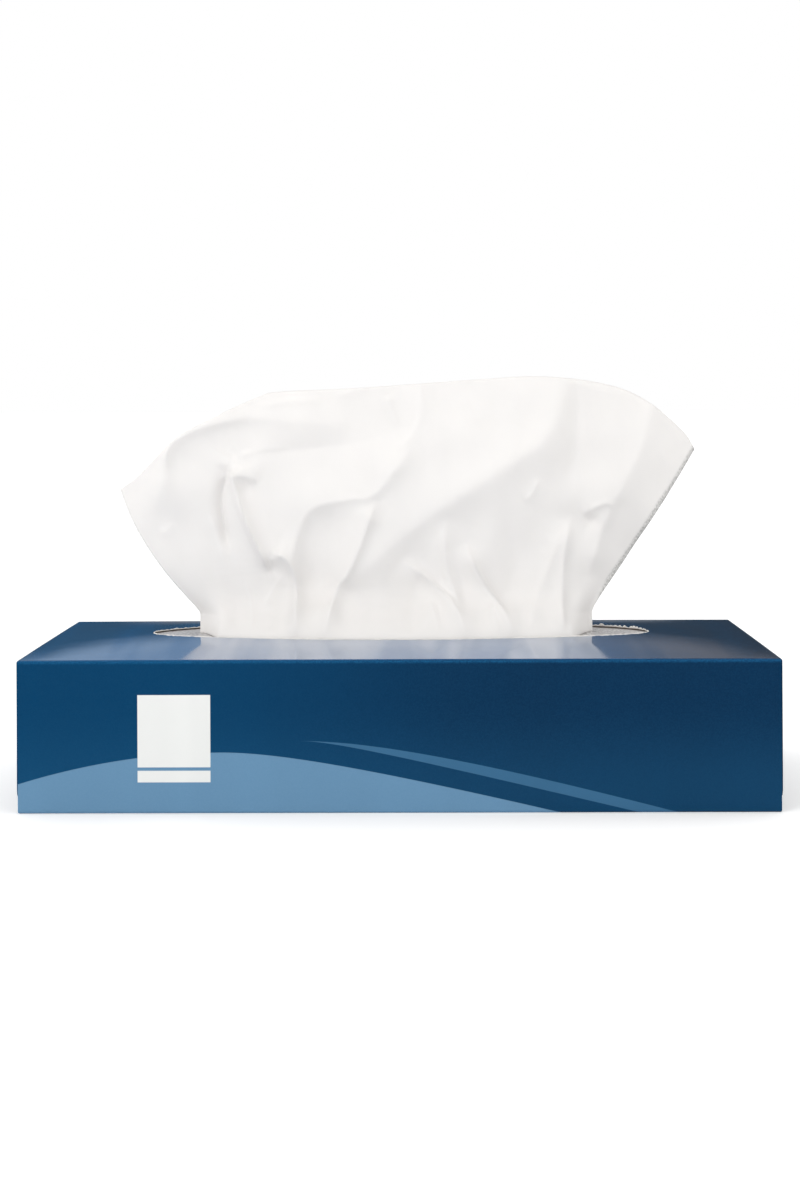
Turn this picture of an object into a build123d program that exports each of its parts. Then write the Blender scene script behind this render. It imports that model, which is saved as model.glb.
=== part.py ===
"""Flat tissue carton with a slit film under its torn-out oval, the folded stack, and one raised tissue.

Frame: millimetres, +Z up, X along the carton's length, -Y towards the front panel.
The origin is the centre of the base, on the surface that the carton stands on.
"""

import math
import os

from build123d import *

# Carton: one card blank, folded into a tube and closed by glued flaps at both ends
length = 225.0
depth = 115.0
height = 45.0
card = 0.5
crease_radius = 1.0
crown = 2.8  # how far the packed tissues push the middle of the top panel up
crown_squareness = 4  # higher keeps the crown level for longer towards the ends
crown_sections = 9

# Oval left by the torn-out perforated panel
opening_length = 158.0
opening_width = 50.0

# Glued flaps of the blank: outer and inner end flaps, dust flaps between them, and the tab of the long seam
end_flap_shortfall = 4.0
end_flap_relief = 1.5
end_flap_corner = 3.0
dust_flap_reach = 38.0
glue_tab_width = 15.0
seam_rebate = 0.8

# Slit film glued under the top panel
film = 0.15
film_glue = 0.05
film_length = 190.0
film_width = 78.0
slit_length = 142.0
slit_width = 8.0

# Interfolded stack on the carton's floor
stack_end_gap = 6.5
stack_side_gap = 5.5
stack_corner = 3.0
stack_clearance = 0.5  # from the film down to the stack

# Raised tissue: the upper half of one two-ply sheet; its lower half is still folded into the stack
sheet = 0.3
rest_clearance = 0.2
neck_left = -64.0
neck_right = 61.0
neck_top = 54.0  # the gathered neck goes straight up to here, then the sheet spreads
left_tip = (-90.6, 92.6)
right_tip = (97.2, 104.4)
top_edge = [(-77.4, 103.8), (-57.7, 116.6), (-38.0, 123.6), (0.0, 126.1), (45.0, 128.4), (78.3, 121.4)]
left_bow = 0.55  # how early the sheet spreads on its way up, as a share of the spread
right_bow = 0.1
left_curl = 10.0  # how far the tips swing back behind the slit
right_curl = 26.0
right_curl_rise = 29.0  # above the top panel, where the right side has swung back in full
pleat_pitch = 31.0
pleat_depth = 2.4
billow_gap = 2.5  # from the oval's rim back to the sheet, which billows forward over the film
billow_ends = 8.0
billow_level = 50.2
billow_rise = 5.5
billow_root = 0.9
sheet_columns = 27
sheet_rows = 19
row_crowding = 1.4  # above 1 puts more rows near the slit

# Folds of the raised tissue: path (x, z), half width left and right of it as seen going along it, and how far
# the fold stands forward
fold_rise = 17.0  # above the top panel, where the folds stand forward in full
folds = [
    ([(-76.0, 95.0), (-73.0, 106.0), (-50.0, 116.0), (-10.0, 113.5)], 9.0, 5.5, 2.2),
    ([(1.0, 102.0), (-8.0, 91.0), (-28.0, 87.0), (-34.0, 69.0)], 5.0, 9.0, 3.0),
    ([(-53.0, 94.0), (-44.0, 71.0)], 4.0, 4.0, 2.4),
    ([(-10.0, 83.0), (-20.0, 57.0)], 4.0, 6.0, 3.0),
    ([(-17.0, 59.0), (0.0, 77.0), (45.0, 109.0), (52.0, 124.0)], 12.0, 8.5, 5.0),
    ([(22.0, 71.0), (35.0, 51.0)], 4.0, 4.0, 2.0),
    ([(51.0, 77.0), (43.0, 55.0)], 4.5, 4.5, 2.0),
    ([(81.0, 120.0), (69.0, 100.0), (60.0, 89.0)], 7.0, 7.0, 3.8),
    ([(67.0, 84.0), (61.0, 67.0)], 4.5, 5.0, 2.2),
]

# Cuts run this far past what they cut
overrun = 5.0

# Depths below the top panel's outer face
film_level = card + film_glue
stack_level = film_level + film + stack_clearance
sheet_level = stack_level - rest_clearance


def crown_rise(x):
    """Rise of the top panel's middle line: full at the centre, none at the end creases."""
    return crown * (1 - abs(2 * x / length) ** crown_squareness)


def crown_section(x, lowered, shut_at):
    """A cross-section at x between the crowned line and the level shut_at, wider than the carton.

    The line is a parabola across the depth that meets the long creases at the carton's height. lowered is
    how far it lies below the top panel's outer face.
    """
    half_width = depth / 2 + overrun
    middle = height - lowered + crown_rise(x)
    drop = crown_rise(x) * (2 * half_width / depth) ** 2
    left = (-half_width, middle - drop)
    right = (half_width, middle - drop)
    with BuildSketch(Plane.YZ.offset(x)) as section:
        with BuildLine():
            Bezier(left, (0, middle + drop), right)
            Polyline(right, (half_width, shut_at), (-half_width, shut_at), left)
        make_face()
    return section.sketch


def crown_block(lowered, shut_at):
    """The space between the crowned line and a level, over the whole carton: a tool to cut a block with."""
    span = length + 2 * overrun
    places = [span * (i / (crown_sections - 1) - 0.5) for i in range(crown_sections)]
    return loft([crown_section(x, lowered, shut_at) for x in places], mode=Mode.PRIVATE)


def above_crown(lowered):
    """What lies above the crowned line."""
    return crown_block(lowered, height + crown + 2 * overrun)


def below_crown(lowered):
    """What lies below the crowned line."""
    return crown_block(lowered, -overrun)


def smooth_step(value):
    """0 below 0, 1 above 1, and an even S between."""
    share = min(max(value, 0.0), 1.0)
    return share * share * (3 - 2 * share)


def fold_height(x, z, path, left_width, right_width, stand):
    """Forward reach at (x, z) of one fold: it dies out to both sides of its path and past its ends."""
    offsets = []
    for (start_x, start_z), (end_x, end_z) in zip(path, path[1:]):
        run_x, run_z = end_x - start_x, end_z - start_z
        along = ((x - start_x) * run_x + (z - start_z) * run_z) / (run_x**2 + run_z**2)
        along = min(max(along, 0.0), 1.0)
        off_x, off_z = x - start_x - along * run_x, z - start_z - along * run_z
        offsets.append((math.hypot(off_x, off_z), run_x * off_z - run_z * off_x))
    gap, side = min(offsets)
    return stand * math.exp(-gap / (left_width if side > 0 else right_width))


def neck_line(x):
    """Depth of the gathered sheet in the slit: shallow pleats that shrink towards the slit's pointed ends."""
    room = max(1 - (2 * x / slit_length) ** 2, 0.0)
    return pleat_depth * room * math.sin(2 * math.pi * x / pleat_pitch)


def billow(z, neck_x):
    """Forward reach of the sheet over the film: almost to the oval's rim, and none at the neck's ends."""
    rim = opening_width / 2 * math.sqrt(max(1 - (2 * neck_x / opening_length) ** 2, 0.0))
    ends = smooth_step((neck_x - neck_left) / billow_ends) * smooth_step((neck_right - neck_x) / billow_ends)
    spread = billow_root if z < billow_level else billow_rise
    return max(rim - billow_gap, 0.0) * ends * math.exp(-(((z - billow_level) / spread) ** 2))


def sheet_depth(x, z, neck_x):
    """Depth of the raised sheet: the neck's pleats below, and its folds and swept-back sides above."""
    lift = smooth_step((z - height) / (left_tip[1] - height))
    curl = left_curl * lift if x < 0 else right_curl * smooth_step((z - height) / right_curl_rise)
    swing = curl * abs(2 * x / (right_tip[0] - left_tip[0])) ** 3
    reach = smooth_step((z - height) / fold_rise) * sum(fold_height(x, z, *fold) for fold in folds)
    return (1 - lift) * neck_line(neck_x) + swing - reach - billow(z, neck_x)


def sheet_point(top, across, up):
    """A point of the raised sheet, given as shares across it from the left and up it from the stack.

    The neck keeps its width, and above it the sheet spreads, bowing outwards, until it meets its top edge.
    """
    neck_x = neck_left + (neck_right - neck_left) * across
    foot = height - sheet_level + crown_rise(neck_x)
    z = foot + (top.Z - foot) * up
    spread = max(z - neck_top, 0.0) / (top.Z - neck_top)
    bow = right_bow + (left_bow - right_bow) * (1 - across) ** 2
    x = neck_x + (top.X - neck_x) * (spread + bow * spread * (1 - spread))
    return Vector(x, sheet_depth(x, z, neck_x), z)


def facets(grid):
    """Two flat faces for each cell of a grid of points: creased paper bends at edges and is flat between."""
    for lower, upper in zip(grid, grid[1:]):
        for a, b, c, d in zip(lower, lower[1:], upper[1:], upper):
            yield Face(Wire.make_polygon([a, b, c]))
            yield Face(Wire.make_polygon([a, c, d]))


def border(grid):
    """The points round the edge of a grid, back to the first one."""
    right = [row[-1] for row in grid]
    left = [row[0] for row in grid]
    return [*grid[0], *right[1:-1], *grid[-1][::-1], *left[-2::-1]]


def raised_sheet():
    """The raised half as a solid: its front and back in flat facets, and its thin edge all round."""
    with BuildLine(Plane.XZ) as top:
        Spline(left_tip, *top_edge, right_tip)
    columns = [i / (sheet_columns - 1) for i in range(sheet_columns)]
    rows = [(i / (sheet_rows - 1)) ** row_crowding for i in range(sheet_rows)]
    front = [[sheet_point(top.line @ across, across, up) for across in columns] for up in rows]
    back = [[point + Vector(0, sheet, 0) for point in row] for row in front]
    return Solid(Shell([*facets(front), *facets(back), *facets([border(front), border(back)])]))


with BuildPart() as cavity:
    # A card's thickness in from the panels, and past three flaps at the ends
    with BuildSketch(Plane.XY.offset(card)):
        Rectangle(length - 6 * card, depth - 2 * card)
    extrude(amount=height + crown + overrun)
    add(above_crown(card), mode=Mode.SUBTRACT)

    # Between the dust flaps the ends are only two flaps thick
    with BuildSketch(Plane.XY.offset(card)):
        Rectangle(length - 4 * card, depth - 2 * (card + dust_flap_reach))
    extrude(amount=height - 2 * card)

with BuildPart() as glue_tab:
    with BuildSketch(Plane.XY.offset(card)):
        with Locations((0, depth / 2 - card)):
            Rectangle(length - 6 * card, glue_tab_width, align=(Align.CENTER, Align.MAX))
    extrude(amount=card)

with BuildPart() as carton:
    with BuildSketch():
        Rectangle(length, depth)
    extrude(amount=height + crown + overrun)
    add(above_crown(0), mode=Mode.SUBTRACT)
    fillet(carton.edges(), radius=crease_radius)

    # The outer end flaps stop short of the edges, where the flaps below them show a card's thickness further in
    for end in (-1, 1):
        with BuildSketch(Plane.YZ.offset(end * length / 2)):
            Rectangle(depth + overrun, 2 * (height + crown + overrun))
            with Locations((0, end_flap_shortfall)):
                flap_size = (depth - 2 * end_flap_relief, height + crown + 2 * overrun)
                RectangleRounded(*flap_size, end_flap_corner, align=(Align.CENTER, Align.MIN), mode=Mode.SUBTRACT)
        extrude(amount=-end * card, mode=Mode.SUBTRACT)

    # The bottom panel's raw edge along the back, where it is glued over the tab
    with BuildSketch(Plane.YZ):
        with Locations((depth / 2, 0)):
            Rectangle(2 * seam_rebate, 2 * card)
    extrude(amount=length / 2, both=True, mode=Mode.SUBTRACT)

    add(cavity.part, mode=Mode.SUBTRACT)
    add(glue_tab.part)

    with BuildSketch(Plane.XY.offset(height / 2)):
        Ellipse(opening_length / 2, opening_width / 2)
    extrude(amount=height, mode=Mode.SUBTRACT)

with BuildPart() as slit_film:
    with BuildSketch():
        Rectangle(film_length, film_width)
        with BuildLine():
            ThreePointArc((-slit_length / 2, 0), (0, slit_width / 2), (slit_length / 2, 0))
            ThreePointArc((slit_length / 2, 0), (0, -slit_width / 2), (-slit_length / 2, 0))
        make_face(mode=Mode.SUBTRACT)
    extrude(amount=height + crown)
    add(above_crown(film_level), mode=Mode.SUBTRACT)
    add(below_crown(film_level + film), mode=Mode.SUBTRACT)

with BuildPart() as tissue_stack:
    with BuildSketch(Plane.XY.offset(card)):
        RectangleRounded(length - 2 * stack_end_gap, depth - 2 * stack_side_gap, stack_corner)
    extrude(amount=height + crown)
    add(above_crown(stack_level), mode=Mode.SUBTRACT)
    add(glue_tab.part, mode=Mode.SUBTRACT)

with BuildPart() as raised_tissue:
    add(raised_sheet())

os.makedirs("parts", exist_ok=True)
carton.part.label = "carton"
export_step(carton.part, "parts/carton.step")
slit_film.part.label = "slit_film"
export_step(slit_film.part, "parts/slit_film.step")
tissue_stack.part.label = "tissue_stack"
export_step(tissue_stack.part, "parts/tissue_stack.step")
raised_tissue.part.label = "raised_tissue"
export_step(raised_tissue.part, "parts/raised_tissue.step")
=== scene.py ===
"""Looks of the flat tissue box: printed card, torn oval rim, hazy slit film and one raised tissue.

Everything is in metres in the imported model's frame: +X along the carton, -Y out of its front panel, +Z up.
"""

import math

import bpy
import numpy as np
from mathutils import Matrix, Vector


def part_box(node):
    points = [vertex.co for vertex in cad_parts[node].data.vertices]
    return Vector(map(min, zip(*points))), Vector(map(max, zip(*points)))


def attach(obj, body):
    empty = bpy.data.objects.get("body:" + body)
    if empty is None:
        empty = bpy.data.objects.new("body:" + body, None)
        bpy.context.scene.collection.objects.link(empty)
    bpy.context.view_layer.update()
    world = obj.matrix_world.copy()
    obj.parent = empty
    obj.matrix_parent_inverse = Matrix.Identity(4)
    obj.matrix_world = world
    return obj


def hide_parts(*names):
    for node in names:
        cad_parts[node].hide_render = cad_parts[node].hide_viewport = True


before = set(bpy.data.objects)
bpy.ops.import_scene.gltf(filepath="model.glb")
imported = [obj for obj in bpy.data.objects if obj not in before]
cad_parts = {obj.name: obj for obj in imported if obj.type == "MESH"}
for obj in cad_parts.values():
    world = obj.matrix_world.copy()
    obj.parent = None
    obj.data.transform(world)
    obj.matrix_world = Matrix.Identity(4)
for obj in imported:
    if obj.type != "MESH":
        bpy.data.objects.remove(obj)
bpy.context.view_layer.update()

MM = 0.001

# Carton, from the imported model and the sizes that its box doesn't show
CARTON_LOW, CARTON_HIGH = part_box("carton")
LENGTH = CARTON_HIGH.x - CARTON_LOW.x
DEPTH = CARTON_HIGH.y - CARTON_LOW.y
CREASE_HEIGHT = 45.0 * MM
CROWN = 2.8 * MM
OPENING_LENGTH = 158.0 * MM
OPENING_WIDTH = 50.0 * MM

# Camera of the photograph, fitted to the carton's corners
CAMERA_PLACE = (8.867 * MM, -704.0 * MM, 121.21 * MM)
CAMERA_YAW = 0.0125
CAMERA_ROLL = -0.0045
CAMERA_LENS = 66.21
CAMERA_SENSOR = 36.0
CAMERA_SHIFT = -0.1671
CAMERA_NEAREST = 0.01

# Raised tissue: outline in the plane of the slit, in millimetres (x, z)
RIM = CREASE_HEIGHT / MM
SLIT_LENGTH = 142.0
NECK_LEFT = -64.0
NECK_RIGHT = 61.0
NECK_TOP = 53.0
NECK_BEND = 0.04  # a smaller one turns more sharply from the neck to the part that spreads
FOOT_BELOW_CROWN = 1.0
TOP_EDGE = [
    (-90.6, 92.6), (-85.0, 96.5), (-77.4, 103.8), (-70.6, 110.0), (-57.7, 116.6), (-44.9, 122.3),
    (-38.0, 123.9), (-12.8, 125.0), (25.0, 127.5), (45.0, 128.4), (64.6, 126.2), (78.3, 121.4),
    (92.4, 110.8), (97.2, 104.4),
]
LEFT_BOW = 0.55
RIGHT_BOW = 0.1
SHEET_COLUMNS = 292
SHEET_ROWS = 164
ROW_CROWDING = 1.3  # above 1 puts more rows near the slit
SHEET_THICKNESS = 0.3 * MM

# Raised tissue: its depth, in millimetres
SHEET_SEED = 11
LEFT_CURL = 10.0
RIGHT_CURL = 26.0
RIGHT_CURL_START = 3.0
RIGHT_CURL_RISE = 26.0
PLEAT_PITCH = 31.0
PLEAT_DEPTH = 2.4
GATHER_PITCHES = np.array([7.0, 9.7, 13.3])
GATHER_DEPTH = 0.2
GATHER_DECAY = 16.0
WRINKLE_LENGTHS = np.linspace(8, 30, 16)
WRINKLE_STEEPNESS = 0.006
BILLOW_GAP = 1.0  # from its foremost line to the oval's front rim
BILLOW_ENDS = 8.0
BILLOW_DROP = 0.33  # of its foremost line below the top panel
BILLOW_RISE = 6.5
BILLOW_ROOT = 0.15
BILLOW_TAIL = 1.3
FOLD_SAMPLES = 48
FOLD_EASE = 5.0
FOLD_SINK = 0.6  # share of its height above the film that a point may sink by

# Folds of the raised tissue: path (x, z), half width left and right of it as seen going along it, forward
# reach, softness of the crest, and the shares of the path over which the fold swells and fades.
# A negative reach is a valley.
FOLDS = [
    # Rolled shoulder and brow of the left half
    ([(-80.5, 81.2), (-76.2, 94.7), (-73.4, 105.9), (-62.2, 113.4), (-49.4, 116.2), (-31.9, 114.3),
      (0, 113.1)], 9.0, 5.5, 2.6, 1.4, 0.15, 0.5),
    ([(-75.6, 97.1), (-74.8, 104.3), (-71.6, 108.6), (-63.6, 112.3), (-50.1, 115.1), (-40, 114.5)],
     3.5, 1.4, 1.0, 0.2, 0.15, 0.4),
    ([(-53.9, 101.6), (-50.2, 104.8), (-35.1, 105.4), (-19.1, 106.7), (-1.6, 109.9)],
     4.0, 3.0, -1.3, 0.8, 0.05, 0.5),
    ([(-53.5, 102.5), (-44.5, 105.2), (-31.7, 106)], 3.5, 1.2, 1.0, 0.2, 0.15, 0.5),
    # Lower edge of the level area below the brow
    ([(6.4, 108.3), (1, 102.2), (-8.3, 91), (-16, 89.8), (-27.9, 86.7), (-32.2, 79.6), (-34.3, 70.8),
      (-33.2, 60.4)], 4.0, 9.0, 3.3, 0.5, 0.2, 0.2),
    # Sharp tuck on the left and the pinch below it
    ([(-55, 100.3), (-53, 93.9), (-49.9, 84.3), (-43.9, 70.8), (-39.9, 62)],
     2.8, 1.5, 4.6, 0.2, 0.1, 0.3),
    ([(-53.9, 100.3), (-57.5, 90.7), (-56.3, 79.6), (-53.9, 71.6)], 1.6, 2.0, -3.2, 0.3, 0.1, 0.3),
    ([(-54.6, 97.4), (-49, 96.6), (-44.6, 94.5)], 3.0, 1.2, 1.6, 0.2, 0.1, 0.4),
    ([(-43.7, 54), (-40, 61), (-36.5, 66.5)], 1.5, 3.0, 0.8, 0.2, 0.3, 0.3),
    ([(-40.7, 72.9), (-36.4, 70.3), (-33.8, 65.2), (-32.9, 57.2), (-32.5, 42.9)],
     2.8, 2.0, 4.2, 0.3, 0.1, 0.2),
    # Narrow ridge that fans out of the slit, and the broad one beside it up to the top edge
    ([(-7.7, 89.5), (-14, 71.6), (-22.3, 50.9), (-24.5, 44)], 2.2, 4.0, 4.0, 0.5, 0.15, 0.15),
    ([(-23.1, 50.1), (-12.8, 65.2), (0, 77.2), (14.4, 87.5), (30.5, 98), (47.5, 110.5), (56, 132.2)],
     12.0, 8.5, 4.6, 2.0, 0.12, 0.05),
    # Short folds that meet at the slit
    ([(15.2, 84.3), (14, 74.8), (16, 62), (20, 50)], 2.6, 3.0, 2.8, 0.6, 0.3, 0.3),
    ([(20.4, 76.4), (24.2, 66.8), (31.9, 52.4), (39.9, 44.5)], 2.2, 3.4, 3.8, 0.3, 0.25, 0.2),
    ([(0, 70.8), (8, 63.6), (16, 54), (23.9, 44.5)], 2.4, 4.0, 3.6, 0.3, 0.25, 0.2),
    ([(53.4, 82.8), (46.3, 65.2), (39.1, 45.3)], 4.0, 4.5, 2.6, 0.6, 0.25, 0.2),
    ([(54.5, 84.3), (52, 68.4), (50.2, 42.9)], 2.2, 2.4, 2.5, 0.3, 0.2, 0.2),
    # Ridge of the right flap, the valley beside it, and the facet below it with its small hood
    ([(84.5, 127.4), (81.5, 117), (77.5, 104), (70, 90), (62, 76)], 7.5, 9.0, 3.8, 1.0, 0.05, 0.3),
    ([(55, 133.8), (56.6, 111.5), (52.6, 87.5)], 5.0, 6.0, -2.4, 1.6, 0.05, 0.3),
    ([(68.6, 88.8), (65.1, 79.6), (59.8, 63.6)], 4.0, 4.0, 2.0, 0.5, 0.35, 0.3),
    ([(58.5, 83.5), (62, 86.2), (66.5, 87.6), (69, 85)], 2.4, 1.2, 1.2, 0.2, 0.3, 0.3),
    # Fine creases
    ([(6.4, 132.2), (6.7, 117), (2.9, 108.3), (-2.4, 105.4)], 2.6, 2.0, 0.8, 0.3, 0.1, 0.2),
    ([(-20.7, 122), (-8.8, 125.5)], 1.6, 2.4, 0.6, 0.2, 0.3, 0.3),
    ([(-46, 119), (-36, 120.5), (-24, 121)], 1.6, 2.4, 0.6, 0.2, 0.3, 0.3),
    ([(39, 88), (42, 91), (44.7, 96)], 1.4, 1.6, 0.8, 0.2, 0.3, 0.3),
    ([(85.3, 118), (89, 111), (92.5, 103.5)], 2.0, 2.0, 0.8, 0.2, 0.2, 0.3),
    ([(83, 111.5), (87.7, 94), (78, 76)], 2.0, 2.4, 0.8, 0.3, 0.3, 0.3),
    ([(-4, 123), (0, 111)], 2.0, 1.6, 0.6, 0.2, 0.2, 0.4),
    ([(20, 124), (25, 112)], 2.4, 2.0, 0.4, 0.3, 0.3, 0.4),
    ([(-78, 77), (-71.8, 82)], 2.0, 2.0, 0.5, 0.2, 0.4, 0.4),
    ([(-61.4, 86), (-58.5, 78), (-55, 66)], 1.8, 2.2, 0.7, 0.3, 0.3, 0.4),
    ([(9, 56), (12.8, 48)], 1.6, 1.6, 1.0, 0.3, 0.3, 0.2),
    ([(28, 55), (31.1, 48)], 1.6, 1.6, 1.0, 0.3, 0.3, 0.2),
    ([(-50, 66), (-47, 56), (-46, 47)], 2.4, 2.4, 0.8, 0.4, 0.3, 0.2),
]
# Dents: centre (x, z), radius, and depth
DENTS = [
    ((-49.1, 93.4), 3.0, 1.0),
    ((-41.2, 67.6), 2.4, 2.2),
    ((61.4, 82.0), 2.2, 1.5),
]

# Dotted crimp along the raised tissue's right edge, in millimetres
CRIMP_START, CRIMP_FULL = 2.2, 0.8  # distances from the edge
CRIMP_SHIFT = 2.0  # towards the edge at the neck, where the crimp fades
CRIMP_RISE = 12.0

# Torn lip round the oval, in millimetres
LIP_SEED = 7
LIP_POINTS = 900
LIP_ORDERS = np.array([3, 5, 11, 23, 41, 67, 97, 131, 173])
LIP_RISE = 0.16
LIP_RISE_BACK = 0.16
LIP_RISE_CORNER = 0.5
LIP_RAGGEDNESS = 2.2
LIP_LEAST, LIP_MOST = 0.04, 0.9
LIP_LEAN = 0.35
LIP_SINK = 0.12
LIP_THICKNESS = 0.18

# Print on the carton, in millimetres from the middle of the front panel's lower edge. A fall is a curve's
# drop per squared distance, and an ease is the distance at which that has halved.
PRINT_SOFT = 0.10
HILL_PEAK = (-52.0, 17.9)
HILL_RADIUS = 195.0
HILL_FALL, HILL_EASE = 0.00598, 42.8
RIBBON_TIP = (-28.9, 21.2)
RIBBON_UPPER_FALL, RIBBON_UPPER_EASE = 0.0047, 64.0
RIBBON_LOWER_FALL, RIBBON_LOWER_EASE = 0.0174, 13.9
LABEL_LEFT, LABEL_RIGHT = -76.7, -55.3
LABEL_SQUARE = (13.6, 34.8)
LABEL_STRIP = (9.2, 12.6)

# How the print's blues run into each other, and where painted light and shade lie on them, in millimetres
# and shares
# Painted shade: the blue darkens towards the right, wandering a little at random
SHADE_LENGTH = 130.0
SHADE_AT_MIDDLE = 0.6
SHADE_DRIFT = 0.5
# Painted light: the blue lighter towards the bottom
LOW_LIGHT_START, LOW_LIGHT_END, LOW_LIGHT_SHARE = 34.0, 4.0, 0.25
# Painted highlight on the rounded crease of the front's top edge, partly plain and partly dotted
CREASE_BAND = (0.9, 0.1)  # below the crease
CREASE_SOFT = 0.5
HIGHLIGHT_PLAIN, HIGHLIGHT_DOTTED = 0.2, 0.5
TOP_SOFT = 0.1
# Painted shadow: the top panel darker towards the right, where the raised tissue shades it
TOP_SHADE_START, TOP_SHADE_END = 30.0, 100.0
SPECKLE_SHARE = 0.07
SIDE_START, SIDE_END = 1.0, 0.9  # depth of a long side's print
CUT_EDGE = (1.0005, 1.0035)  # of the oval's equation, from raw card to print

# Colours, as display values from 0 to 255
BLUE = (7, 60, 97)
# Painted shade of the blue, towards the right
BLUE_SHADED = (10, 46, 77)
# Painted highlight of the front's top crease
BLUE_CREASE_LIT = (30, 100, 150)
# Painted light near the bottom of the carton
BLUE_LOW_LIT = (34, 92, 132)
BLUE_TOP = (12, 84, 136)
# Painted shadow on the top panel's right part
BLUE_TOP_SHADED = (14, 58, 88)
BLUE_SPECKLE = (44, 100, 140)
HILL = (102, 141, 172)
RIBBON = (59, 103, 137)
WHITE_INK = (228, 229, 227)
# Raw card core, darkened further as painted shade under the cut edge
RAW_CARD_AND_SHADE = (74, 60, 48)
TISSUE = (248, 246, 244)
TISSUE_SHADE = (238, 236, 234)
CRIMP = (132, 131, 130)
FILM_DARK, FILM_LIGHT = (164, 160, 157), (232, 230, 230)
FIBRE_DARK, FIBRE_LIGHT = (214, 208, 200), (252, 250, 247)
FLOOR, FLOOR_SPECK = (250, 250, 250), (244, 244, 244)

# Studio. The glossy print mirrors a dim room with these colours, and everything else sees even white light.
ROOM_LOW_LEFT, ROOM_LOW_RIGHT = (50, 78, 102), (50, 52, 58)
ROOM_WALL_LEFT, ROOM_WALL_RIGHT = (150, 172, 197), (104, 90, 80)
ROOM_FLOOR = (110, 116, 124)
ROOM_FRONT = (24, 26, 30)
ROOM_SIDES = (-0.25, 0.3)
ROOM_WALL_FOOT = (0.10, 0.20)
ROOM_HORIZON = 0.03
ROOM_FRONT_START, ROOM_FRONT_END = 0.0, -0.4
EVEN_LIGHT = (1.03, 1.03, 1.03, 1.0)
WHITE = (1.0, 1.0, 1.0, 1.0)
FLOOR_HALF = 20.0
FLOOR_GLOW = 0.2
KEY_TOWARDS = (-0.56, -0.66, 0.50)
KEY_POWER = 0.6
KEY_SPREAD = 20.0


def linear(colour):
    """Scene-linear RGBA of a colour given as display values from 0 to 255."""
    share = np.array(colour) / 255
    flat = np.where(share <= 0.04045, share / 12.92, ((share + 0.055) / 1.055) ** 2.4)
    return (*flat.tolist(), 1.0)


class Shade:
    """A socket of a node tree. Operators on it add Math nodes, and number on number stays in Python."""

    def __init__(self, tree, socket):
        self.tree = tree
        self.socket = socket

    def math(self, operation, *values):
        return self.tree.node("ShaderNodeMath", {"operation": operation}, values)

    def __add__(self, other):
        return self.math("ADD", self, other)

    def __radd__(self, other):
        return self.math("ADD", other, self)

    def __sub__(self, other):
        return self.math("SUBTRACT", self, other)

    def __rsub__(self, other):
        return self.math("SUBTRACT", other, self)

    def __mul__(self, other):
        return self.math("MULTIPLY", self, other)

    def __rmul__(self, other):
        return self.math("MULTIPLY", other, self)

    def __truediv__(self, other):
        return self.math("DIVIDE", self, other)

    def __rtruediv__(self, other):
        return self.math("DIVIDE", other, self)

    def __abs__(self):
        return self.math("ABSOLUTE", self)

    def least(self, other):
        return self.math("MINIMUM", self, other)

    def most(self, other):
        return self.math("MAXIMUM", self, other)

    def ramp(self, start, end):
        """0 before start and 1 after end, with a smooth S between."""
        settings = {"interpolation_type": "SMOOTHSTEP"}
        values = {"Value": self, "From Min": start, "From Max": end, "To Min": 0.0, "To Max": 1.0}
        return self.tree.node("ShaderNodeMapRange", settings, values)

    def between(self, low, high, soft):
        """1 from low to high, with soft edges."""
        return self.ramp(low - soft, low + soft) * (1 - self.ramp(high - soft, high + soft))

    def dots(self, width):
        """A noise with more contrast: 0 and 1 are reached at width below and above its middle."""
        return (self - 0.5).ramp(-width, width)


class Tree:
    """A material's or world's node tree, with one method for every kind of node."""

    def __init__(self, owner):
        owner.use_nodes = True
        self.nodes = owner.node_tree.nodes
        self.links = owner.node_tree.links
        self.nodes.clear()

    def node(self, kind, settings=None, values=None, output=0):
        """A new node: its settings first, then the values or links of its sockets, by key or in order."""
        made = self.nodes.new(kind)
        for name, setting in (settings or {}).items():
            setattr(made, name, setting)
        pairs = values.items() if isinstance(values, dict) else enumerate(values or [])
        for key, value in pairs:
            socket = made.inputs[key]
            if isinstance(value, Shade):
                self.links.new(value.socket, socket)
            else:
                socket.default_value = value
        return Shade(self, made.outputs[output])

    def point(self):
        """A point of the surface in the shared frame, in metres."""
        return self.node("ShaderNodeTexCoord", output="Object")

    def parts(self, vector):
        """x, y and z of a vector."""
        return [self.node("ShaderNodeSeparateXYZ", None, [vector], axis) for axis in ("X", "Y", "Z")]

    def mix(self, share, first, second):
        """A colour between two: share 0 is the first and share 1 the second."""
        return self.node("ShaderNodeMix", {"data_type": "RGBA"}, {0: share, 6: first, 7: second}, 2)

    def noise(self, scale, detail=3.0, roughness=0.55, vector=None):
        values = {"Vector": vector or self.point(), "Scale": scale, "Detail": detail, "Roughness": roughness}
        return self.node("ShaderNodeTexNoise", None, values)

    def bump(self, height, strength, distance, normal=None):
        values = {"Height": height, "Strength": strength, "Distance": distance}
        if normal:
            values["Normal"] = normal
        return self.node("ShaderNodeBump", None, values)

    def principled(self, values):
        return self.node("ShaderNodeBsdfPrincipled", None, values)

    def finish(self, shader, kind="ShaderNodeOutputMaterial"):
        """Links the shader to a new output node."""
        self.links.new(shader.socket, self.nodes.new(kind).inputs["Surface"])


def new_material(name):
    material = bpy.data.materials.new(name)
    return material, Tree(material)


def falling(run, fall, ease):
    """Drop of a printed curve at a distance: as the square at first, then more and more in proportion."""
    return fall * run * run / (1 + run / ease)


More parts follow.
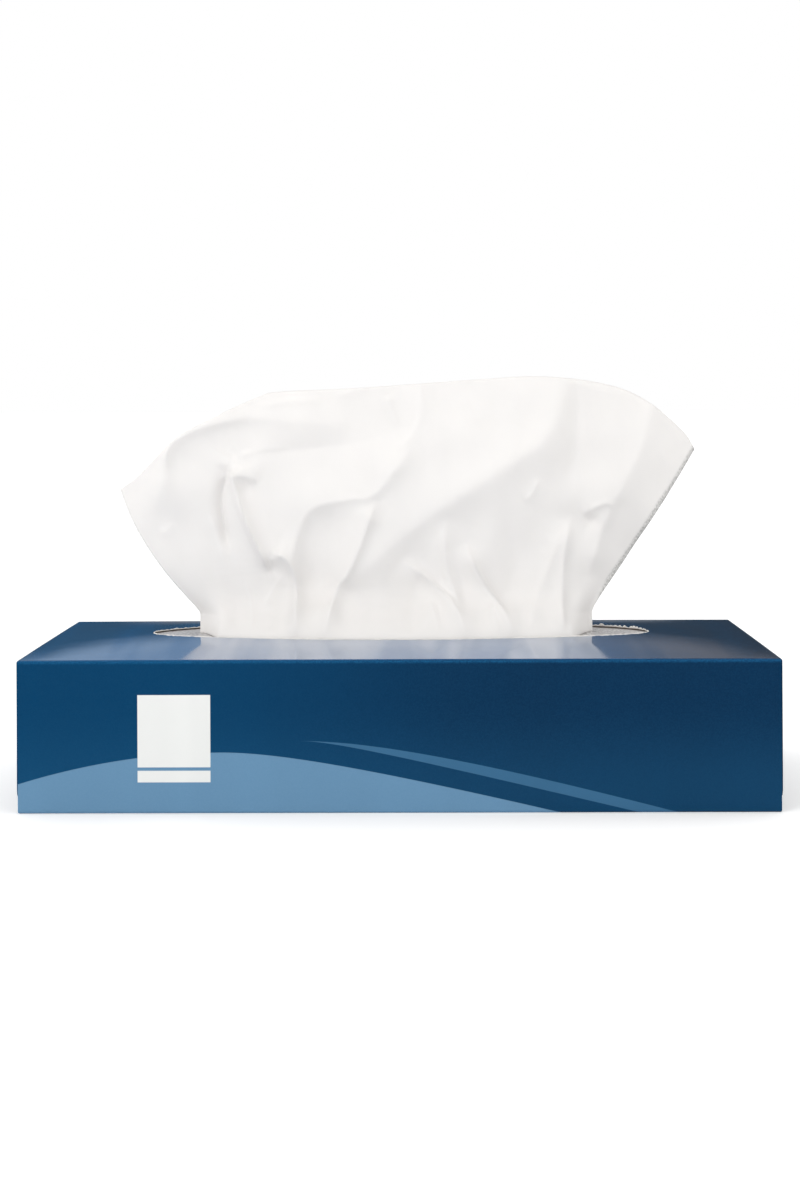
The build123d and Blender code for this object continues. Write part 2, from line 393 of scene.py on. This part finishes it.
def printed_card():
    """Glossy blue print with a light hill and a ribbon, white label fields, and raw card where it is cut.
    Painted light and shade lie on the blues, and the raw card is darkened with painted shade under the cut
    edge.

    The back panel repeats the hill and the ribbon, and only the front has the label.
    """
    material, tree = new_material("printed_card")
    x, y, z = tree.parts(tree.point())
    across, inwards, up = x / MM, y / MM, z / MM
    grain = tree.noise(scale=2600.0, detail=2.0)
    drift = tree.noise(scale=9.0, detail=2.0)
    speckle = grain.dots(0.2)

    sideways = across * (1 - 2 * inwards.ramp(-1.0, 1.0))
    from_peak = sideways - HILL_PEAK[0]
    left, right = from_peak.least(0.0), from_peak.most(0.0)
    hill_edge = HILL_PEAK[1] - left * left / (2 * HILL_RADIUS) - falling(right, HILL_FALL, HILL_EASE)
    hill = (hill_edge - up).ramp(-PRINT_SOFT, PRINT_SOFT)
    along = (sideways - RIBBON_TIP[0]).most(0.0)
    upper = RIBBON_TIP[1] - falling(along, RIBBON_UPPER_FALL, RIBBON_UPPER_EASE)
    lower = RIBBON_TIP[1] - falling(along, RIBBON_LOWER_FALL, RIBBON_LOWER_EASE)
    ribbon = (upper - up).ramp(-PRINT_SOFT, PRINT_SOFT) * (up - lower).ramp(-PRINT_SOFT, PRINT_SOFT)
    ribbon = ribbon * along.ramp(0.0, 1.0)
    fields = up.between(*LABEL_SQUARE, PRINT_SOFT).most(up.between(*LABEL_STRIP, PRINT_SOFT))
    label = across.between(LABEL_LEFT, LABEL_RIGHT, PRINT_SOFT) * fields
    half = DEPTH / MM / 2
    front = inwards.ramp(-half + SIDE_START, -half + SIDE_END)
    long_side = abs(inwards).ramp(half - SIDE_START, half - SIDE_END)

    # Painted shade: the blue darkens from left to right, with a little random drift
    shade_share = across / SHADE_LENGTH + SHADE_AT_MIDDLE + SHADE_DRIFT * (drift - 0.5)
    blue = tree.mix(shade_share.ramp(0.0, 1.0), linear(BLUE), linear(BLUE_SHADED))
    # Painted light: the blue lightens towards the bottom
    blue = tree.mix(LOW_LIGHT_SHARE * up.ramp(LOW_LIGHT_START, LOW_LIGHT_END), blue, linear(BLUE_LOW_LIT))
    # Painted highlight: a lighter, dotted band just below the front's top crease
    crease = up.between(RIM - CREASE_BAND[0], RIM - CREASE_BAND[1], CREASE_SOFT)
    crease_highlight = crease * front * (HIGHLIGHT_PLAIN + HIGHLIGHT_DOTTED * speckle)
    blue = tree.mix(crease_highlight, blue, linear(BLUE_CREASE_LIT))
    # Painted shadow: the top panel darkens towards the right, where the raised tissue shades it
    top_shade = across.ramp(TOP_SHADE_START, TOP_SHADE_END)
    top_blue = tree.mix(top_shade, linear(BLUE_TOP), linear(BLUE_TOP_SHADED))
    blue = tree.mix(up.ramp(RIM - TOP_SOFT, RIM + TOP_SOFT), blue, top_blue)
    printed = tree.mix(ribbon * long_side, blue, linear(RIBBON))
    printed = tree.mix(hill * long_side, printed, linear(HILL))
    printed = tree.mix(label * front, printed, linear(WHITE_INK))
    printed = tree.mix(SPECKLE_SHARE * ((1 - label * front) * speckle), printed, linear(BLUE_SPECKLE))

    rim_x = x / (OPENING_LENGTH / 2)
    rim_y = y / (OPENING_WIDTH / 2)
    # The raw card at the cut also carries painted shade under the edge
    cut = 1 - (rim_x * rim_x + rim_y * rim_y).ramp(*CUT_EDGE)

    drawn_out = tree.node("ShaderNodeCombineXYZ", None, [x, 0.1 * y, 0.0])
    streak = tree.noise(scale=55.0, detail=2.0, vector=drawn_out).ramp(0.42, 0.62)
    tree.finish(tree.principled({
        "Base Color": tree.mix(cut, printed, linear(RAW_CARD_AND_SHADE)),
        "Roughness": 0.10 + 0.06 * (grain - 0.5),
        "IOR": 1.5,
        "Coat Weight": 0.9 - 0.6 * streak,
        "Coat Roughness": 0.05,
        "Normal": tree.bump(grain, strength=0.05, distance=0.02 * MM),
    }))
    return material


def tissue_paper():
    """Soft white two-ply paper: faint crepe, thin enough for some light to come through.

    The raised sheet has an attribute with the distance from its crimped edge, where dots darken it. The
    stack has none and reads 0, so it is dotted all over. It only shows through the film.
    """
    material, tree = new_material("tissue_paper")
    fibre = tree.noise(scale=1700.0, roughness=0.7)
    cloud = tree.noise(scale=120.0)
    white = tree.mix(0.35 * cloud, linear(TISSUE), linear(TISSUE_SHADE))
    inwards = tree.node("ShaderNodeAttribute", {"attribute_name": "from_crimped_edge"}, output="Fac")
    crimp = (0.15 + 0.6 * fibre.dots(0.12)) * inwards.ramp(CRIMP_START, CRIMP_FULL)
    normal = tree.bump(fibre, strength=0.25, distance=0.05 * MM)
    face = tree.principled({
        "Base Color": tree.mix(crimp, white, linear(CRIMP)),
        "Roughness": 0.95,
        "Specular IOR Level": 0.15,
        "Normal": normal,
    })
    through = tree.node("ShaderNodeBsdfTranslucent", None, {"Color": linear(TISSUE), "Normal": normal})
    through_share = 0.25
    tree.finish(tree.node("ShaderNodeMixShader", None, [through_share, face, through]))
    return material


def hazy_film():
    """Thin hazy plastic with fine creases and a grainy sheen."""
    material, tree = new_material("hazy_film")
    grain = tree.noise(scale=1500.0, roughness=0.7)
    crease = tree.noise(scale=70.0, detail=4.0)
    grainy = tree.bump(grain, strength=0.3, distance=0.1 * MM)
    tree.finish(tree.principled({
        "Base Color": tree.mix(grain.dots(0.15), linear(FILM_DARK), linear(FILM_LIGHT)),
        "Roughness": 0.3,
        "Specular IOR Level": 0.2,
        "Alpha": 0.7 + 0.3 * grain,
        "Normal": tree.bump(crease, strength=0.5, distance=1.0 * MM, normal=grainy),
    }))
    return material


def torn_paper():
    """White paper fibres of the torn perforation."""
    material, tree = new_material("torn_paper")
    fibre = tree.noise(scale=2500.0, roughness=0.7)
    tree.finish(tree.principled({
        "Base Color": tree.mix(fibre, linear(FIBRE_DARK), linear(FIBRE_LIGHT)),
        "Roughness": 0.9,
        "Normal": tree.bump(fibre, strength=0.5, distance=0.08 * MM),
    }))
    return material


def mesh_object(name, points, faces, material):
    """A new mesh piece at the origin, with smooth faces."""
    mesh = bpy.data.meshes.new(name)
    mesh.from_pydata(points.reshape(-1, 3), [], faces)
    mesh.polygons.foreach_set("use_smooth", np.ones(len(mesh.polygons), bool))
    mesh.materials.append(material)
    piece = bpy.data.objects.new(name, mesh)
    bpy.context.scene.collection.objects.link(piece)
    return piece


def thicken(piece, name, thickness):
    """Gives a surface a thickness, half to either side."""
    solid = piece.modifiers.new(name, "SOLIDIFY")
    solid.thickness = thickness
    solid.offset = 0


def grid_faces(rows, columns, closed=False):
    """Quads of a grid of points, row by row; closed joins the last column to the first."""
    across = columns if closed else columns - 1
    row, column = np.meshgrid(np.arange(rows - 1), np.arange(across), indexing="ij")
    right = (column + 1) % columns
    low, high = row * columns, (row + 1) * columns
    return np.stack([low + column, low + right, high + right, high + column], -1).reshape(-1, 4)


def smooth_step(value):
    """0 below 0, 1 above 1, and an even S between."""
    share = np.clip(value, 0, 1)
    return share * share * (3 - 2 * share)


def smooth_path(points, count):
    """Samples of a smooth curve through points: each span is a cubic whose end slopes are half the step
    between its neighbours. The samples are even along the straight lines between the points."""
    points = np.array(points, float)
    ends = np.vstack([2 * points[0] - points[1], points, 2 * points[-1] - points[-2]])
    reach = np.concatenate([[0], np.cumsum(np.linalg.norm(np.diff(points, axis=0), axis=1))])
    where = np.linspace(0, reach[-1], count)
    span = np.clip(np.searchsorted(reach, where, side="right") - 1, 0, len(points) - 2)
    share = ((where - reach[span]) / (reach[span + 1] - reach[span]))[:, None]
    before, start, end, after = (ends[span + i] for i in range(4))
    slope, bend = end - before, 2 * before - 5 * start + 4 * end - after
    twist = 3 * start - before - 3 * end + after
    return start + 0.5 * share * (slope + share * (bend + share * twist))


def crown_rise(x):
    """Rise of the top panel's middle line at x, in millimetres: full at the centre, none at the ends."""
    return CROWN / MM * (1 - np.abs(2 * x / (LENGTH / MM)) ** 4)


def fold_reach(x, z, path, left, right, reach, soft, swell, fade):
    """Forward reach of one fold at the points (x, z).

    The nearest place on the fold's path gives the distance, the side and the share along it. Away from the
    path the reach dies out exponentially, with its own half width on each side and a softly rounded crest.
    Along the path it swells from nothing and fades to nothing.
    """
    line = smooth_path(path, FOLD_SAMPLES)
    start, run = line[:-1], np.diff(line, axis=0)
    off_x, off_z = x[..., None] - start[:, 0], z[..., None] - start[:, 1]
    share = np.clip((off_x * run[:, 0] + off_z * run[:, 1]) / (run**2).sum(1), 0, 1)
    gap_x, gap_z = off_x - share * run[:, 0], off_z - share * run[:, 1]
    near = np.hypot(gap_x, gap_z).argmin(-1)[..., None]

    def nearest(values):
        return np.take_along_axis(values, near, -1)[..., 0]

    gap = np.hypot(nearest(gap_x), nearest(gap_z))
    width = np.where(nearest(run[:, 0] * gap_z - run[:, 1] * gap_x) > 0, left, right)
    along = (near[..., 0] + nearest(share)) / (FOLD_SAMPLES - 1)
    strength = reach * smooth_step(along / swell) * smooth_step((1 - along) / fade)
    return strength * np.exp((soft - np.hypot(gap, soft)) / width)


def small_wrinkles(x, z, draw):
    """Faint waves over the whole sheet: a sum of plane waves in random directions, longer ones taller."""
    turns = draw.uniform(0, np.pi, len(WRINKLE_LENGTHS))
    phases = draw.uniform(0, 2 * np.pi, len(WRINKLE_LENGTHS))
    along = x[..., None] * np.cos(turns) + z[..., None] * np.sin(turns)
    waves = np.sin(2 * np.pi * along / WRINKLE_LENGTHS + phases)
    return (WRINKLE_STEEPNESS * WRINKLE_LENGTHS * waves).sum(-1)


def sheet_outline():
    """The raised sheet's grid seen from the front: x of each column in the neck, then x and z of the points.

    Each column starts in the slit, goes straight up through the neck and then spreads to its place on the
    top edge, bowing outwards on the way.
    """
    across = np.linspace(0, 1, SHEET_COLUMNS)
    up = np.linspace(0, 1, SHEET_ROWS)[:, None] ** ROW_CROWDING
    top = smooth_path(TOP_EDGE, SHEET_COLUMNS)
    neck = NECK_LEFT + (NECK_RIGHT - NECK_LEFT) * across
    foot = RIM - FOOT_BELOW_CROWN + crown_rise(neck)
    z = foot + (top[:, 1] - foot) * up
    spread = np.clip((z - NECK_TOP) / (top[:, 1] - NECK_TOP), 0, 1)
    spread = (1 + NECK_BEND) * spread**2 / (spread + NECK_BEND)
    bow = RIGHT_BOW + (LEFT_BOW - RIGHT_BOW) * (1 - across) ** 2
    x = neck + (top[:, 0] - neck) * (spread + bow * spread * (1 - spread))
    return neck, x, z


def sheet_billow(neck, z, level):
    """How the raised sheet billows forward over the film: its share of the full billow, its reach and slope.

    It is full at the given level, where it comes near the oval's front rim. Below that it goes back into the
    slit at once, and above it dies out as a power of one plus the square of the height. It fades towards
    both ends of the neck.
    """
    above = (z - level) / np.where(z < level, BILLOW_ROOT, BILLOW_RISE)
    oval = OPENING_WIDTH / MM / 2 * np.sqrt(1 - (2 * neck / (OPENING_LENGTH / MM)) ** 2)
    ends = smooth_step((neck - NECK_LEFT) / BILLOW_ENDS) * smooth_step((NECK_RIGHT - neck) / BILLOW_ENDS)
    swell = ends * (1 + above**2) ** -BILLOW_TAIL
    billow = (oval - BILLOW_GAP) * swell
    slope = 2 * BILLOW_TAIL * np.clip(above, 0, None) / (1 + above**2) * billow / BILLOW_RISE
    return swell, billow, slope


def sheet_points():
    """Points of the raised tissue on a grid of shares across it and up it.

    In the slit the depth is the neck's pleats, and above it the billow over the film. Higher up the sides
    swing back by the cube of their distance from the middle. The folds, dents, gathers and faint wrinkles
    set in above the film and are added along the billow's normal, partly forwards and partly upwards.
    """
    draw = np.random.default_rng(SHEET_SEED)
    neck, x, z = sheet_outline()
    level = RIM + crown_rise(neck) - BILLOW_DROP
    lift = smooth_step((z - RIM) / (TOP_EDGE[0][1] - RIM))
    ease = smooth_step((z - level) / FOLD_EASE)
    room = np.clip(1 - (2 * neck / SLIT_LENGTH) ** 2, 0, None)
    pleats = PLEAT_DEPTH * room * np.sin(2 * np.pi * neck / PLEAT_PITCH)
    outwards = np.abs(2 * x / (TOP_EDGE[-1][0] - TOP_EDGE[0][0])) ** 3
    right_lift = smooth_step((z - RIM - RIGHT_CURL_START) / RIGHT_CURL_RISE)
    swing = outwards * np.where(x < 0, LEFT_CURL * lift, RIGHT_CURL * right_lift)
    swell, billow, slope = sheet_billow(neck, z, level)

    phases = draw.uniform(0, 2 * np.pi, len(GATHER_PITCHES))
    waves = np.sin(2 * np.pi * neck[:, None] / GATHER_PITCHES + phases).sum(-1)
    reach = GATHER_DEPTH * waves * np.exp((RIM - z) / GATHER_DECAY) + small_wrinkles(x, z, draw)
    reach = reach + sum(fold_reach(x, z, *fold) for fold in FOLDS)
    for (dent_x, dent_z), radius, deep in DENTS:
        reach = reach - deep * np.exp(-((x - dent_x) ** 2 + (z - dent_z) ** 2) / radius**2)
    forward = ease * reach / np.hypot(1, slope)
    upward = forward * slope

    y = (1 - lift) * (1 - swell) * pleats + swing - forward - billow
    z = z - crown_rise(neck) * (2 * y / (DEPTH / MM)) ** 2 * (1 - ease)
    z = z + np.maximum(upward, -FOLD_SINK * np.clip(z - level, 0, None))
    return np.stack([x, y, z], -1) * MM


def raised_tissue(material):
    """The raised tissue: the sheet's surface, thickened, with the distance from its crimped right edge."""
    points = sheet_points()
    piece = mesh_object("raised_tissue_sheet", points, grid_faces(SHEET_ROWS, SHEET_COLUMNS), material)
    inwards = np.linalg.norm(points - points[:, -1:], axis=-1) / MM
    above_neck = smooth_step((points[..., 2] / MM - NECK_TOP) / CRIMP_RISE)
    edge = piece.data.attributes.new("from_crimped_edge", "FLOAT", "POINT")
    edge.data.foreach_set("value", (inwards + CRIMP_SHIFT * (1 - above_neck)).ravel())
    thicken(piece, "plies", SHEET_THICKNESS)
    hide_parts("raised_tissue")
    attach(piece, "root")


def torn_rim(material):
    """A ragged lip of torn paper round the oval: its height wanders by a mean of sines of high order, and it
    stands highest at the back on the right."""
    turn = np.linspace(0, 2 * np.pi, LIP_POINTS, endpoint=False)
    draw = np.random.default_rng(LIP_SEED)
    phases = draw.uniform(0, 2 * np.pi, len(LIP_ORDERS))
    ragged = np.sin(turn[:, None] * LIP_ORDERS + phases).mean(1)
    back, right = np.clip(np.sin(turn), 0, 1), np.clip(np.cos(turn), 0, 1)
    fullest = LIP_RISE + LIP_RISE_BACK * back + LIP_RISE_CORNER * right * np.sqrt(back)
    rise = np.clip(fullest * (1 + LIP_RAGGEDNESS * ragged), LIP_LEAST, LIP_MOST)
    up = np.array([0.0, 0.5, 1.0])[:, None]
    x = (OPENING_LENGTH / 2 - up * LIP_LEAN * MM) * np.cos(turn)
    y = (OPENING_WIDTH / 2 - up * LIP_LEAN * MM) * np.sin(turn)
    panel = CREASE_HEIGHT + crown_rise(x / MM) * MM * (1 - (2 * y / DEPTH) ** 2)
    z = panel + (up * rise - LIP_SINK) * MM
    faces = grid_faces(len(up), LIP_POINTS, closed=True)
    piece = mesh_object("torn_rim", np.stack([x, y, z], -1), faces, material)
    thicken(piece, "fibres", LIP_THICKNESS * MM)
    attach(piece, "root")


def dress(node, material):
    """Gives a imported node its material."""
    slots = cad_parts[node].data.materials
    slots.clear()
    slots.append(material)


def camera():
    """The photograph's camera, level but for a slight roll, with its picture shifted instead of tilted."""
    data = bpy.data.cameras.new("photo_camera")
    data.lens = CAMERA_LENS
    data.sensor_width = CAMERA_SENSOR
    data.shift_y = CAMERA_SHIFT
    data.clip_start = CAMERA_NEAREST
    eye = bpy.data.objects.new("photo_camera", data)
    level = Matrix.Rotation(CAMERA_YAW, 4, "Z") @ Matrix.Rotation(math.pi / 2, 4, "X")
    eye.matrix_world = Matrix.Translation(CAMERA_PLACE) @ level @ Matrix.Rotation(CAMERA_ROLL, 4, "Z")
    bpy.context.scene.collection.objects.link(eye)
    bpy.context.scene.camera = eye


def key_light():
    """A soft even light from the upper left in front, which the glossy print doesn't mirror."""
    data = bpy.data.lights.new("key", "SUN")
    data.energy = KEY_POWER
    data.angle = math.radians(KEY_SPREAD)
    lamp = bpy.data.objects.new("key", data)
    lamp.rotation_euler = Vector(KEY_TOWARDS).to_track_quat("Z", "Y").to_euler()
    lamp.visible_glossy = False
    bpy.context.scene.collection.objects.link(lamp)


def pale_floor():
    """A wide plain floor that glows a little, so that it comes out as white as the background."""
    material, tree = new_material("pale_floor")
    speck = tree.noise(scale=300.0, detail=2.0)
    tree.finish(tree.principled({
        "Base Color": tree.mix(0.1 * speck, linear(FLOOR), linear(FLOOR_SPECK)),
        "Roughness": 0.9,
        "Emission Color": WHITE,
        "Emission Strength": FLOOR_GLOW,
    }))
    corners = FLOOR_HALF * np.array([(-1, -1, 0), (1, -1, 0), (1, 1, 0), (-1, 1, 0)])
    floor = mesh_object("pale_floor", corners, [(0, 1, 2, 3)], material)
    floor.visible_glossy = False


def surroundings():
    """White to the camera, an even light to dull surfaces, and a dim room to glossy ones: low and upper
    walls that differ from left to right, a floor, and a dark front behind the camera."""
    world = bpy.data.worlds.new("studio_world")
    bpy.context.scene.world = world
    sky = Tree(world)
    dx, dy, dz = sky.parts(sky.node("ShaderNodeTexCoord", output="Generated"))
    rightwards = dx.ramp(*ROOM_SIDES)
    low = sky.mix(rightwards, linear(ROOM_LOW_LEFT), linear(ROOM_LOW_RIGHT))
    wall = sky.mix(rightwards, linear(ROOM_WALL_LEFT), linear(ROOM_WALL_RIGHT))
    room = sky.mix(dz.ramp(*ROOM_WALL_FOOT), low, wall)
    room = sky.mix((0 - dz).ramp(-ROOM_HORIZON, ROOM_HORIZON), room, linear(ROOM_FLOOR))
    room = sky.mix(dy.ramp(ROOM_FRONT_START, ROOM_FRONT_END), room, linear(ROOM_FRONT))
    light = sky.mix(sky.node("ShaderNodeLightPath", output="Is Glossy Ray"), EVEN_LIGHT, room)
    light = sky.mix(sky.node("ShaderNodeLightPath", output="Is Camera Ray"), light, WHITE)
    background = sky.node("ShaderNodeBackground", None, {"Color": light, "Strength": 1.0})
    sky.finish(background, "ShaderNodeOutputWorld")


tissue = tissue_paper()
dress("carton", printed_card())
dress("slit_film", hazy_film())
dress("tissue_stack", tissue)
raised_tissue(tissue)
torn_rim(torn_paper())
camera()
pale_floor()
surroundings()
key_light()
bpy.context.scene.view_settings.view_transform = "Standard"
